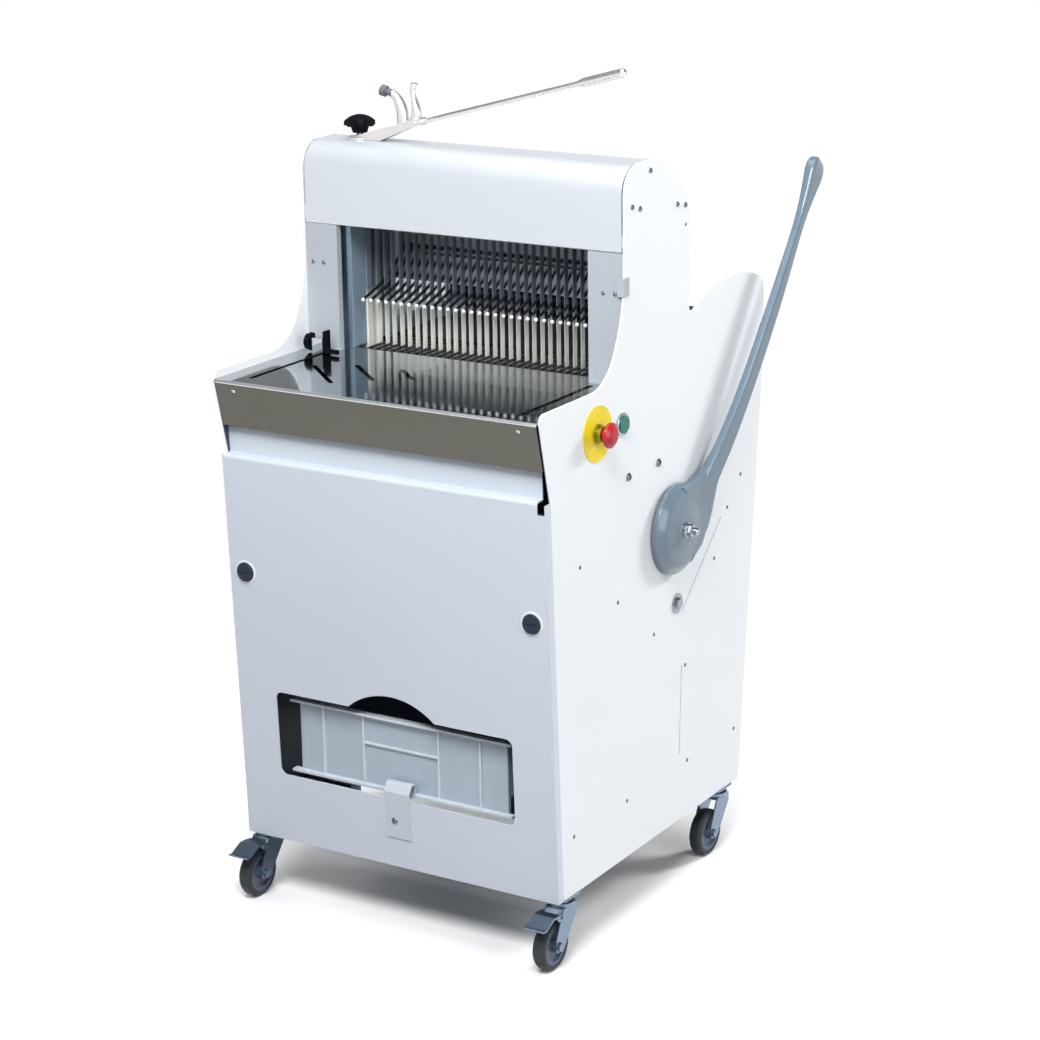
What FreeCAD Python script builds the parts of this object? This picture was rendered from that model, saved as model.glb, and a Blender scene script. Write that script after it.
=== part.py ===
import FreeCAD, Part
import math
import os

# Floor-standing bread slicer on castors, worked by a long side lever.
# Millimetres.  While it is built, x = 0 is the middle of the cabinet, -Y is the
# front, +X the lever side and z = 0 the floor.  The finished pieces are moved so
# that the origin is the bottom centre of the whole machine's box.

V = FreeCAD.Vector

# ---------------------------------------------------------------- cabinet
cabinet_width = 600.0        # over the outer faces of the side plates
side_sheet = 3.0             # side plate thickness
panel_sheet = 2.0            # front panel, cover and shroud sheet
thin_sheet = 1.5             # table, apron, guides and chutes
cabinet_bottom = 110.0       # underside of the cabinet above the floor
table_height = 893.0         # slicing table and infeed deck surface
table_upstand = 12.0         # side plates stand this much above the table
front_foot_y = -290.5        # front edge of the side plates at the bottom
front_break = (-318.0, table_height - 129)    # y, z where the front edge changes slope
front_lip_y = -348.5         # front edge of the side plates at table height
rear_foot_y = 304.0
rear_break = (376.0, table_height - 103)
rear_lip = (384.0, table_height + 87)

# ---------------------------------------------------------------- tower
tower_front = -92.0
tower_rear = 117.0
tower_top = table_height + 340.5
cover_front_low = table_height + 208     # lower front edge of the top cover
pusher_top = table_height + 76
cover_rear_low = pusher_top + 6
cover_gap = 2.5              # between the cover's ends and the side plates
hump_top = table_height + 110.5
hump_y = 268.0
hump_radius = 260.0

# ---------------------------------------------------------------- slicing
blade_pitch = 15.0
blade_count = 30
blade_thick = 0.8
blade_depth = 12.0
blade_offset = 0.5           # blade row centres in front of and behind y = 0
bar_depth = 14.0             # frame bars, which stand against the blades' outer edges
frame_low = table_height - 173   # underside of the blade frames' lower bars
frame_high = table_height + 279  # top of the blade frames' upper bars
frame_bar = 22.0             # height of those bars
upright_in = 226.0           # inner face of the frame uprights
upright_width = 14.0
stroke = 18.0                # half stroke of a blade frame, and crank radius
guide_x = 253.0              # vertical guide rods
guide_y = 30.0
rod_radius = 8.0
running = 0.05               # radial clearance of a running fit
seat_gap = 0.3               # gap between pieces that move on each other

# ---------------------------------------------------------------- drive
crank_y, crank_z = 45.0, table_height - 399
crank_pulley_radius = 42.0
motor_y, motor_z = 240.0, 400.0
motor_pulley_radius = 28.0
motor_radius = 65.0
belt_x = 230.0
belt_width = 16.0
belt_thick = 7.0
shaft_radius = 12.0

# ---------------------------------------------------------------- lever
lever_y, lever_z = 62.0, table_height - 266
lever_lean = 40.9            # degrees behind vertical at rest
lever_length = 698.0
hub_radius = 75.0
hub_gap = 5.0                # hub to side plate
lever_offset = 29.0          # middle of the grip in front of the hub's back face

# ---------------------------------------------------------------- pusher
infeed_wall_in = 229.0       # inner face of the trough walls
infeed_wall_top = table_height + 27
pusher_rest_y = 262.0        # front face of the pusher beam at rest
carriage_rod_z = table_height - 43

# ---------------------------------------------------------------- front
window_half = 225.0
window_low, window_high = 229.0, 374.0
window_corner = 12.0
arch_half, arch_rise = 82.0, 31.0
lock_x, lock_z = 269.0, 573.0
lock_radius = 15.5
drawer_half = 199.0
drawer_low, drawer_high = 232.0, 357.0
drawer_front, drawer_rear = -288.0, 130.0
drawer_wall = 2.5

# ---------------------------------------------------------------- castors
castor_x = cabinet_width / 2 - 15
castor_front_pivot, castor_rear_pivot = -273.0, 246.0
castor_trail = 35.0
wheel_radius = 40.0
wheel_width = 24.0

# ---------------------------------------------------------------- top arm
arm_x, arm_y = -227.0, -27.0
arm_rise = 14.9              # degrees
arm_reach = 512.0            # from the swivel to the tip, along the rod
arm_knob_radius = 26.0

outer_x = cabinet_width / 2
inner_x = outer_x - side_sheet
side_top = table_height + table_upstand
nodes = {}


# ---------------------------------------------------------------- helpers
def unit(v):
    return v * (1 / v.Length)


def box(x, y, z):
    return Part.makeBox(x[1] - x[0], y[1] - y[0], z[1] - z[0], V(x[0], y[0], z[0]))


def rod(start, end, radius):
    start, end = V(*start), V(*end)
    return Part.makeCylinder(radius, (end - start).Length, start, end - start)


def square_tube(x, y, z, wall=2.5):
    """Square tube along its longest side, open at its ends."""
    spans = [x, y, z]
    lengths = [s[1] - s[0] for s in spans]
    along = lengths.index(max(lengths))
    inner = [s if i == along else (s[0] + wall, s[1] - wall) for i, s in enumerate(spans)]
    return box(*spans).cut(box(*inner))


def tube(start, end, radius, bore):
    return rod(start, end, radius).cut(rod(start, end, bore))


YZ = (lambda a, b: V(0, a, b), V(1, 0, 0))
XZ = (lambda a, b: V(a, 0, b), V(0, 1, 0))
XY = (lambda a, b: V(a, b, 0), V(0, 0, 1))


def outline(corners, plane):
    """Closed face in a plane; a corner is (a, b) or (a, b, fillet radius)."""
    place = plane[0]
    points = [V(c[0], c[1], 0) for c in corners]
    bends = []
    for i, corner in enumerate(corners):
        here = points[i]
        radius = corner[2] if len(corner) > 2 else 0
        if not radius:
            bends.append((here, None, here))
            continue
        back = unit(points[i - 1] - here)
        ahead = unit(points[(i + 1) % len(points)] - here)
        half = back.getAngle(ahead) / 2
        run = radius / math.tan(half)
        middle = here + unit(back + ahead) * (radius / math.sin(half) - radius)
        bends.append((here + back * run, middle, here + ahead * run))
    edges = []
    for i, (start, middle, end) in enumerate(bends):
        if middle is not None:
            arc = Part.Arc(*[place(p.x, p.y) for p in (start, middle, end)])
            edges.append(arc.toShape())
        following = bends[(i + 1) % len(bends)][0]
        if (following - end).Length > 1e-6:
            edges.append(Part.makeLine(place(end.x, end.y), place(following.x, following.y)))
    return Part.Face(Part.Wire(edges))


def slab(corners, plane, low, high):
    """Outline extruded along its plane's normal from low to high."""
    face = outline(corners, plane)
    face.translate(plane[1] * low)
    return face.extrude(plane[1] * (high - low))


def ribbon(points, thick, plane, low, high):
    """Bent sheet: open line of (a, b, r) corners, thickened to its left."""
    left = []
    for i, point in enumerate(points):
        here = V(point[0], point[1], 0)
        before = V(points[i - 1][0], points[i - 1][1], 0) if i else None
        after = V(points[i + 1][0], points[i + 1][1], 0) if i < len(points) - 1 else None
        into = unit(here - before) if before else unit(after - here)
        out = unit(after - here) if after else into
        normal = unit(V(-into.y - out.y, into.x + out.x, 0))
        reach = thick / normal.dot(V(-into.y, into.x, 0))
        turn = into.x * out.y - into.y * out.x
        radius = point[2] if len(point) > 2 else 0
        if radius:
            radius = radius - thick if turn > 0 else radius + thick
        left.append((here.x + normal.x * reach, here.y + normal.y * reach, max(radius, 0)))
    return slab(list(points) + left[::-1], plane, low, high)


def fuse(shapes):
    whole = shapes[0]
    if len(shapes) > 1:
        whole = whole.fuse(shapes[1:])
    return whole.removeSplitter()


def mirrored(shape):
    return shape.mirror(V(0, 0, 0), V(1, 0, 0))


def both_sides(shapes):
    return shapes + [mirrored(s) for s in shapes]


def add(name, solids):
    nodes[name] = solids if isinstance(solids, list) else [solids]


def dome(centre, direction, radius, height):
    """Low domed screw head with a round socket, sitting on a face."""
    centre, direction = V(*centre), V(*direction)
    ball = (radius ** 2 + height ** 2) / (2 * height)
    sphere = Part.makeSphere(ball, centre + direction * (height - ball))
    head = sphere.common(Part.makeCylinder(radius, height, centre, direction))
    socket = Part.makeCylinder(radius * 0.36, height, centre + direction * (height * 0.5), direction)
    return head.cut(socket)


def star_knob(centre, direction, radius, height, lobes=7):
    """Lobed hand knob whose back face is centred on the given point."""
    centre, direction = V(*centre), V(*direction)
    core = Part.makeCylinder(radius * 0.8, height, V(0, 0, 0))
    for i in range(lobes):
        angle = 2 * math.pi * i / lobes
        spot = V(radius * 0.76 * math.cos(angle), radius * 0.76 * math.sin(angle), 0)
        core = core.fuse(Part.makeCylinder(radius * 0.24, height, spot))
        gap = angle + math.pi / lobes
        spot = V(radius * 1.02 * math.cos(gap), radius * 1.02 * math.sin(gap), -1)
        core = core.cut(Part.makeCylinder(radius * 0.27, height + 2, spot))
    crown = Part.makeSphere(radius * 1.35, V(0, 0, height - radius * 1.35))
    core = core.common(crown)
    turn = FreeCAD.Rotation(V(0, 0, 1), direction)
    core.Placement = FreeCAD.Placement(centre, turn)
    return core


# ---------------------------------------------------------------- side plates
steep_low = (-146.3, side_top, 82)
steep_high = (tower_front, table_height + 117.9, 225)
side_profile = [
    (front_foot_y, cabinet_bottom, 5),
    (front_break[0], front_break[1]),
    (front_lip_y - 2, side_top, 14),
    steep_low,
    steep_high,
    (tower_front, tower_top, 45),
    (31, tower_top, 99),
    (tower_rear, tower_top - tower_rear + 31, 50),
    (tower_rear, table_height + 74.8, 10),
    (hump_y, hump_top + hump_radius * (1 / math.cos(math.radians(20)) - 1), hump_radius),
    (rear_lip[0], rear_lip[1], 34),
    (rear_break[0], rear_break[1], 200),
    (rear_foot_y, cabinet_bottom, 5),
]


def side_plate():
    plate = slab(side_profile, YZ, inner_x, outer_x)
    bush_hole = rod((inner_x - 1, lever_y, lever_z), (outer_x + 1, lever_y, lever_z), shaft_radius + 7)
    spare = (tower_rear - 11, table_height + 221)
    spare_hole = rod((inner_x - 1, *spare), (outer_x + 1, *spare), 3.5)
    return plate.cut(bush_hole).cut(spare_hole)


seams = [((233, 602), (97, 475)), ((95.5, 382), (88, 227))]      # ends y, z of each line
seam_wide, seam_deep = 1.4, 1.0


def seam(start, end):
    """Groove in the outer face of the lever side plate."""
    length = math.dist(start, end)
    cut = box((outer_x - seam_deep, outer_x + 1), (-seam_wide / 2, seam_wide / 2), (0, length))
    cut.rotate(V(0, 0, 0), V(1, 0, 0), math.degrees(math.atan2(start[0] - end[0], end[1] - start[1])))
    cut.translate(V(0, *start))
    return cut


def lever_side_plate():
    plate = side_plate()
    for start, end in seams:
        plate = plate.cut(seam(start, end))
    return plate


add("side_plate_right", lever_side_plate())
add("side_plate_left", mirrored(side_plate()))


# ---------------------------------------------------------------- base and bars
rail = 40.0                  # square tube of the base frame
base_top = cabinet_bottom + rail
base_front, base_rear = front_foot_y + 8, rear_foot_y - 8


def base_frame():
    side_rail = square_tube((inner_x - rail, inner_x), (base_front, base_rear), (cabinet_bottom, base_top))
    ends = [
        square_tube((rail - inner_x, inner_x - rail), (y, y + rail), (cabinet_bottom, base_top))
        for y in (base_front, base_rear - rail)
    ]
    return both_sides([side_rail]) + ends


add("base_frame", base_frame())

beam_y = (-96.0, -66.0)      # cross beam that carries the blade guides
beam_z = (table_height - 203, table_height - 133)
motor_bar_z = (304.0, 324.0)
crank_bar_z = (370.0, 410.0)


def tie_bars():
    span = (-inner_x, inner_x)
    return [
        square_tube(span, beam_y, beam_z),
        square_tube(span, (crank_y - 20, crank_y + 20), crank_bar_z),
        square_tube(span, (motor_y - 60, motor_y - 40), motor_bar_z),
        square_tube(span, (motor_y + 40, motor_y + 60), motor_bar_z),
        square_tube(span, (front_break[0] + 32, front_break[0] + 52),
                    (front_break[1] + 36, front_break[1] + 66)),
    ]


add("tie_bars", tie_bars())


# ---------------------------------------------------------------- front panel
# Built upright with the side plates' front edge at y = 0 and their lower
# corner at z = 0, then leaned to the slope of that edge.
slope = math.degrees(math.atan2(front_foot_y - front_break[0], front_break[1] - cabinet_bottom))
panel_out = V(0, -math.cos(math.radians(slope)), -math.sin(math.radians(slope)))
panel_up = V(0, -math.sin(math.radians(slope)), math.cos(math.radians(slope)))
panel_length = (front_break[1] - cabinet_bottom) / math.cos(math.radians(slope))
panel_depth = 15.0           # the panel's face stands this far in front of the edges
panel_fold = 4.0             # its upper fold rises this far above their upper corner
strip_half = outer_x - 15    # right end of the upper strip, short of the side plate
strip_back = 3.0             # the upper strip lies this far behind the edges
strip_high = 46.0


def leaned(shape):
    shape.rotate(V(0, 0, 0), V(1, 0, 0), slope)
    shape.translate(V(0, front_foot_y, cabinet_bottom))
    return shape


def up_panel(z):
    """Distance along the panel of a height above the floor."""
    return (z - cabinet_bottom) / math.cos(math.radians(slope))


def panel_point(x, z, out=0.0):
    """Point at height z, standing out from the side plates' front edge."""
    along = up_panel(z)
    base = V(x, front_foot_y, cabinet_bottom)
    return base + panel_up * along + panel_out * out


def front_panel():
    """Shallow box with the drawer's window; its top folds back to the upper strip."""
    face, back = -panel_depth, panel_sheet - panel_depth
    top = panel_length + panel_fold
    body_top = top - 20
    sheet = box((-outer_x, outer_x), (face, back), (0, body_top))
    side_return = box((outer_x - panel_sheet, outer_x), (face, 0), (0, panel_length))
    foot_return = box((-outer_x, outer_x), (face, 0), (0, panel_sheet))
    fold_line = [(back, body_top), (back, top - panel_sheet, 4),
                 (strip_back + panel_sheet, top - panel_sheet),
                 (strip_back + panel_sheet, panel_length + strip_high, 1),
                 (strip_back + 14, panel_length + strip_high)]
    fold = ribbon(fold_line, panel_sheet, YZ, -inner_x, strip_half)
    left_ear = box((-outer_x, -inner_x), (face, back), (body_top, top))
    whole = fuse([sheet, fold, foot_return, left_ear, side_return, mirrored(side_return)])
    low, high = up_panel(window_low), up_panel(window_high)
    corner = window_corner
    window = slab(
        [(-window_half, low, corner), (window_half, low, corner),
         (window_half, high, corner), (-window_half, high, corner)],
        XZ, face - 1, back + 1)
    arch_radius = (arch_half ** 2 + arch_rise ** 2) / (2 * arch_rise)
    arch_centre = high + arch_rise - arch_radius
    arch = rod((0, face - 1, arch_centre), (0, back + 1, arch_centre), arch_radius)
    arch = arch.common(box((-arch_half, arch_half), (face - 2, back + 2), (high - 5, high + arch_rise + 1)))
    whole = whole.cut(window).cut(arch)
    for side in (-1, 1):
        centre = up_panel(lock_z)
        x = side * lock_x
        ring = tube((x, face - 1, centre), (x, face, centre), lock_radius + 4, lock_radius + 1)
        whole = whole.fuse(ring)
        whole = whole.cut(rod((x, face - 2, centre), (x, back + 2, centre), 6 + running))
    return leaned(whole.removeSplitter())


add("front_panel", front_panel())


def panel_lock(side):
    """Round quarter-turn knob, its shaft through the panel and the tongue behind."""
    x, z = side * lock_x, up_panel(lock_z)
    face = -panel_depth - seat_gap
    cap = rod((x, face, z), (x, face - 4, z), lock_radius)
    cap = cap.makeFillet(1.2, [e for e in cap.Edges if abs(e.BoundBox.YMin - (face - 4)) < 0.01
                              and abs(e.BoundBox.YMax - (face - 4)) < 0.01])
    slot = box((x - 10, x + 10), (face - 5, face - 3), (z - 1, z + 1))
    shaft = rod((x, face, z), (x, face + 9, z), 6)
    tongue = box((x - 6, x + 6), (face + 5, face + 9), (z - 9, z + 22))
    return leaned(fuse([cap, shaft, tongue]).cut(slot))


add("panel_lock_right", panel_lock(1))
add("panel_lock_left", panel_lock(-1))


# ---------------------------------------------------------------- drawer
rim = 10.0


def crumb_drawer():
    y, z = (drawer_front, drawer_rear), (drawer_low, drawer_high)
    w, half = drawer_wall, drawer_half
    shell = box((-half, half), y, z)
    shell = shell.cut(box((w - half, half - w), (y[0] + w, y[1] - w), (z[0] + w, z[1] + 1)))
    upright_edges = [e for e in shell.Edges if abs(e.BoundBox.ZLength) > 50]
    shell = shell.makeFillet(2.0, upright_edges)
    rim_out = box((-half - 12, half + 12), (y[0] - rim, y[1] + 6), (z[1] - 4, z[1]))
    rim_out = rim_out.cut(box((w - half, half - w), (y[0] + w, y[1] - w), (z[1] - 5, z[1] + 1)))
    foot_lip = box((-half - 12, half + 12), (y[0] - rim, y[0] + w), (z[0], z[0] + 4))
    ribs = [box((x - 1.5, x + 1.5), (y[0] - 4, y[0] + 1), (z[0] + 4, z[1] - 4)) for x in (-150, -72, 72, 150)]
    ribs.append(box((-72, 72), (y[0] - 4, y[0] + 1), (304, 307)))
    return fuse([shell, rim_out, foot_lip] + ribs)


add("crumb_drawer", crumb_drawer())

tab_x = (-20.0, 28.0)
tab_low, tab_high = 162.0, 240.0
tab_screw_x, tab_screw_z = -2.0, 191.0
tab_sheet = 2.0


def drawer_tab():
    """Bent pull plate: fixed on the drawer's lip, hanging outside the panel."""
    out = panel_depth + seat_gap
    foot = panel_point(0, tab_low, out)
    bend = panel_point(0, tab_high, out)
    back = V(0, drawer_front - rim, drawer_low + 4)
    line = [(foot.y, foot.z), (bend.y, bend.z, 4), (bend.y + 7, bend.z + 13, 5),
            (drawer_front - 6, bend.z + 13, 3), (drawer_front - 6, back.z)]
    plate = ribbon(line, tab_sheet, YZ, *tab_x)
    hole = panel_point(tab_screw_x, tab_screw_z, 0)
    tip = panel_point(tab_screw_x, tab_screw_z, 40)
    return plate.cut(rod(hole, tip, 3))


def tab_screw():
    start = panel_point(tab_screw_x, tab_screw_z, panel_depth + seat_gap)
    face = start + panel_out * tab_sheet
    head = dome(face, panel_out, 6, 3)
    shank = Part.makeCylinder(3, tab_sheet, start, panel_out)
    return fuse([head, shank])


add("drawer_tab", [drawer_tab(), tab_screw()])


def drawer_runners():
    """Angle runners from the tie bar feet, one each side under the drawer's edges."""
    under = drawer_low - seat_gap
    x_in, x_out = drawer_half - 20, drawer_half + seat_gap + thin_sheet
    y = (front_foot_y + 6, drawer_rear)
    ledge = box((x_in, x_out), y, (under - thin_sheet, under))
    wall = box((x_out - thin_sheet, x_out), y, (under, under + 30))
    posts = [box((x_out - 12, x_out), (yy, yy + 12), (base_top, under - thin_sheet)) for yy in (-150, 60)]
    feet = [box((x_out - 12, inner_x - rail), (yy, yy + 12), (base_top - 6, base_top)) for yy in (-150, 60)]
    runner = fuse([ledge, wall] + posts + feet)
    return both_sides([runner])


add("drawer_runners", drawer_runners())


# ---------------------------------------------------------------- table and apron
comb_front = -57.0           # tips of the support comb
table_rear = comb_front - 1
slot_x, slot_half = 249.0, 4.5
slot_front, slot_rear = -318.0, -105.0


def table():
    front = front_lip_y - 1
    plate = box((-inner_x, inner_x), (front + 3, table_rear), (table_height - thin_sheet, table_height))
    for side in (-1, 1):
        x = side * slot_x
        corners = [(x - slot_half, slot_front, 4.4), (x + slot_half, slot_front, 4.4),
                   (x + slot_half, slot_rear, 4.4), (x - slot_half, slot_rear, 4.4)]
        plate = plate.cut(slab(corners, XY, table_height - 5, table_height + 5))
    for x, y, length in ((-165, -240, 128), (-111, -201, 112), (-44, -180, 66)):
        slot = slab([(-length / 2, -4, 3.9), (length / 2, -4, 3.9), (length / 2, 4, 3.9),
                     (-length / 2, 4, 3.9)],
                    XY, -5, 5)
        slot.rotate(V(0, 0, 0), V(0, 0, 1), -42)
        slot.translate(V(x, y, table_height))
        plate = plate.cut(slot)
    return plate


add("table", table())
apron_low = (-330.0, table_height - 78)
apron_half = inner_x - 2


def apron():
    line = [(front_lip_y + 14, table_height - thin_sheet), (front_lip_y - 1, table_height - thin_sheet, 3),
            (apron_low[0] - 1, apron_low[1], 2), (apron_low[0] + 15, apron_low[1])]
    return ribbon(line, thin_sheet, YZ, -apron_half, apron_half)


add("apron", apron())


# ---------------------------------------------------------------- tower
front_plate_in = 235.0
wall_fold_y = -62.0
tower_front_y = tower_front + 1


def tower_front_plate():
    plate = box((front_plate_in, inner_x), (tower_front_y, tower_front_y + thin_sheet),
                (table_height, cover_front_low - seat_gap))
    edge = box((front_plate_in, front_plate_in + thin_sheet), (tower_front_y, tower_front_y + 12),
               (table_height, cover_front_low - seat_gap))
    return fuse([plate, edge])


def guide_wall():
    """Upright inner wall in front of the blades, with its folded bead."""
    line = [(front_plate_in + thin_sheet, tower_front_y + 12), (front_plate_in + thin_sheet, wall_fold_y, 2),
            (infeed_wall_in + thin_sheet, wall_fold_y + 3, 2), (infeed_wall_in + thin_sheet, -frame_clear)]
    wall = ribbon(line, thin_sheet, XY, table_height, frame_high + 10)
    return wall


def top_cover():
    """Bent sheet over the tower, hung on cleats a little inside the side plates."""
    front, rear = tower_front + 1, tower_rear - 1
    line = [(front + 10, cover_front_low), (front, cover_front_low, 2.2), (front, tower_top - 1, 44),
            (31, tower_top - 1, 98),
            (rear, tower_top - tower_rear + 31, 49), (rear, cover_rear_low)]
    end = inner_x - cover_gap
    sheet = ribbon(line[::-1], panel_sheet, YZ, -end, end)
    cleats = [
        box((inner_x - 14, inner_x), (front + panel_sheet, front + panel_sheet + 10),
            (cover_front_low + 8, cover_front_low + 28)),
        box((inner_x - 14, inner_x), (rear - panel_sheet - 10, rear - panel_sheet),
            (cover_rear_low + 8, cover_rear_low + 28)),
    ]
    return fuse([sheet] + both_sides(cleats))


add("top_cover", top_cover())

deck_sheet = 2.0
rear_inset = 3.0             # rear cover behind the side plates' rear edges


def rear_cover():
    """Sheet that closes the back, from the base to the underside of the infeed deck."""
    climb = (table_height - deck_sheet - rear_break[1]) / (rear_lip[1] - rear_break[1])
    top_y = rear_break[0] + (rear_lip[0] - rear_break[0]) * climb
    line = [(rear_foot_y - rear_inset, cabinet_bottom), (rear_break[0] - rear_inset, rear_break[1], 150),
            (top_y - rear_inset, table_height - deck_sheet - 0.1)]
    return ribbon(line, panel_sheet, YZ, -inner_x, inner_x)


add("rear_cover", rear_cover())


# ---------------------------------------------------------------- blades
blade_span = (blade_count - 1) / 2 * blade_pitch


def blade_x(i):
    return i * blade_pitch - blade_span


blade_edge = blade_depth / 2 + blade_offset
blade_hold = 4.0             # blade ends stop this far inside the frame's outer edges
frame_offset = blade_edge + bar_depth / 2
frame_clear = frame_offset + bar_depth / 2 + 1.5


def blade_frame(side):
    """Welded frame; side -1 is the front frame, +1 the rear one."""
    y0 = side * frame_offset
    y = (y0 - bar_depth / 2, y0 + bar_depth / 2)
    upright_out = upright_in + upright_width
    bars = [
        box((-upright_in, upright_in), y, (frame_low, frame_low + frame_bar)),
        box((-upright_in, upright_in), y, (frame_high - frame_bar, frame_high)),
    ]
    upright = box((upright_in, upright_out), y, (frame_low, frame_high))
    lugs = []
    for low in (frame_low + 42, frame_high - 34):
        lug = box((upright_out, guide_x + 13), (side * guide_y - 11, side * guide_y + 11), (low, low + 18))
        reach = sorted((y0, side * guide_y))
        lug = lug.fuse(box((upright_out, guide_x - 4), reach, (low, low + 18)))
        bore = rod((guide_x, side * guide_y, low - 1), (guide_x, side * guide_y, low + 19),
                   rod_radius + running)
        lugs.append(lug.cut(bore))
    return bars + both_sides([fuse([upright] + lugs)])


pin_z = frame_low + 22
pin_radius = 7.0
rod_plane = (268.0, 278.0)   # connecting rods lie between these x


def wrist_pin(side):
    """Lug and pin on the frame for its connecting rod."""
    y0 = side * frame_offset
    lug = box((upright_in + upright_width, guide_x + 13), (y0 - 6, y0 + 6), (pin_z - 12, pin_z + 12))
    pin = rod((guide_x + 13, y0, pin_z), (rod_plane[1] + 2, y0, pin_z), pin_radius)
    whole = fuse([lug, pin])
    return whole if side < 0 else mirrored(whole)


def blades(side):
    """Strips that reach over the bars and lie against their blade side."""
    y0 = side * blade_offset
    start = 0 if side < 0 else 1
    strips = []
    for i in range(start, blade_count, 2):
        x = blade_x(i)
        strips.append(box((x - blade_thick / 2, x + blade_thick / 2),
                          (y0 - blade_depth / 2, y0 + blade_depth / 2),
                          (frame_low + blade_hold, frame_high - blade_hold)))
    return strips


for label, side in (("front", -1), ("rear", 1)):
    frame = blade_frame(side)
    carrier = frame[2] if side < 0 else frame[3]
    joined = carrier.fuse(wrist_pin(side)).removeSplitter()
    frame = [joined if s is carrier else s for s in frame]
    add("blade_frame_" + label, frame + blades(side))


guide_low, guide_high = beam_z[0], frame_high + 23
block = 10.0                 # thickness of the guide rods' end blocks


def guide_rods():
    return both_sides([rod((guide_x, y, guide_low + block), (guide_x, y, guide_high), rod_radius)
                       for y in (-guide_y, guide_y)])


def guide_blocks():
    """Lower shelf on the cross beam and upper blocks on the side plates."""
    lower = box((guide_x - 10, guide_x + 13), (beam_y[1], guide_y + 14), (guide_low, guide_low + block))
    upper = box((guide_x - 12, inner_x), (-guide_y - 14, guide_y + 14), (guide_high, guide_high + block))
    return both_sides([lower, upper])


add("blade_guides", guide_rods() + guide_blocks())


# ---------------------------------------------------------------- combs
comb_rod = 2.5
comb_rear = 62.0
hold_low = (comb_front, table_height + 81.2)
hold_knee = (18.0, hold_low[1] + 24)
hold_high = (68.0, hold_low[1] + 66)
hold_bar_radius = 8.0


def comb_x():
    return [(blade_x(i) + blade_x(i + 1)) / 2 for i in range(blade_count - 1)]


def support_comb():
    """Rods that carry the loaf through the blades, on two cross bars."""
    axis = table_height - comb_rod
    rods = []
    for x in comb_x():
        stick = rod((x, comb_front + 2, axis), (x, comb_rear, axis), comb_rod)
        rods.append(stick.fuse(Part.makeSphere(comb_rod + 0.7, V(x, comb_front + 2, axis - 0.7))))
    bars = [box((-inner_x, inner_x), (y, y + 10), (axis - 11, axis - 1))
            for y in (comb_front + 9, comb_rear - 12)]
    return fuse(bars + rods)


def hold_down_comb():
    """Curved rods over the loaf, from a cross bar at the back of the tower."""
    start, end = V(0, *hold_low), V(0, *hold_high)
    knee = V(0, *hold_knee)
    rods = []
    for x in comb_x():
        shift = V(x, 0, 0)
        bend = unit(start - knee) + unit(end - knee)
        run = 38.0
        first, last = knee + unit(start - knee) * run, knee + unit(end - knee) * run
        half = unit(start - knee).getAngle(unit(end - knee)) / 2
        radius = run * math.tan(half)
        middle = knee + unit(bend) * (radius / math.sin(half) - radius)
        path = Part.Wire([
            Part.makeLine(start + shift, first + shift),
            Part.Arc(first + shift, middle + shift, last + shift).toShape(),
            Part.makeLine(last + shift, end + shift),
        ])
        ring = Part.Wire(Part.makeCircle(comb_rod, start + shift, unit(knee - start)))
        stick = path.makePipeShell([ring], True, False)
        rods.append(stick.fuse(Part.makeSphere(comb_rod + 0.7, start + shift)))
    bar = rod((-inner_x, end.y, end.z), (inner_x, end.y, end.z), hold_bar_radius)
    return fuse([bar] + rods)


add("loaf_combs", [support_comb(), hold_down_comb()])


# ---------------------------------------------------------------- infeed
deck_front = comb_rear + 1
deck_rear = rear_lip[0] - 5
carriage_rod_front = guide_y + 14


def infeed_deck():
    plate = box((-infeed_wall_in, infeed_wall_in), (deck_front, deck_rear),
                (table_height - deck_sheet, table_height))
    ribs = [box((-infeed_wall_in, infeed_wall_in), (y, y + 12),
                (table_height - 24, table_height - deck_sheet))
            for y in (deck_front + 4, deck_rear - 22)]
    return [plate] + ribs


add("infeed_deck", infeed_deck())


cheek_rear = hold_high[0] - hold_bar_radius - 2    # tall cheeks end in front of the hold-down bar
cheek_flange = 15.0


def infeed_walls():
    """Low trough walls that rise to tall flanged cheeks behind the blades."""
    wall = box((infeed_wall_in, infeed_wall_in + thin_sheet), (frame_clear, deck_rear),
               (table_height - deck_sheet, infeed_wall_top))
    wall = wall.cut(box((0, 400), (0, deck_front), (0, table_height + 1)))
    fold = box((infeed_wall_in, infeed_wall_in + 4), (deck_front + 2, deck_rear),
               (infeed_wall_top - 1, infeed_wall_top))
    ears = [box((infeed_wall_in + thin_sheet, inner_x), (y, y + thin_sheet),
                (table_height + 2, infeed_wall_top - 2))
            for y in (carriage_rod_front, deck_rear - thin_sheet)]
    cheek = box((infeed_wall_in, infeed_wall_in + thin_sheet), (frame_clear, cheek_rear),
                (infeed_wall_top - 1, frame_high + 10))
    flange = box((infeed_wall_in - cheek_flange, infeed_wall_in + thin_sheet),
                 (cheek_rear - thin_sheet, cheek_rear),
                 (hold_high[1] - 23, frame_high + 10))
    return both_sides([fuse([wall, fold, cheek, flange] + ears)])


add("inner_walls", both_sides([guide_wall()]) + infeed_walls())


# ---------------------------------------------------------------- pusher
carriage_x = 252.0
block_half = 14.0
block_y = (pusher_rest_y - 10, pusher_rest_y + 24)
link_z = carriage_rod_z - 25
rocker_plane = (inner_x - 16, inner_x - 8)


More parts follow.
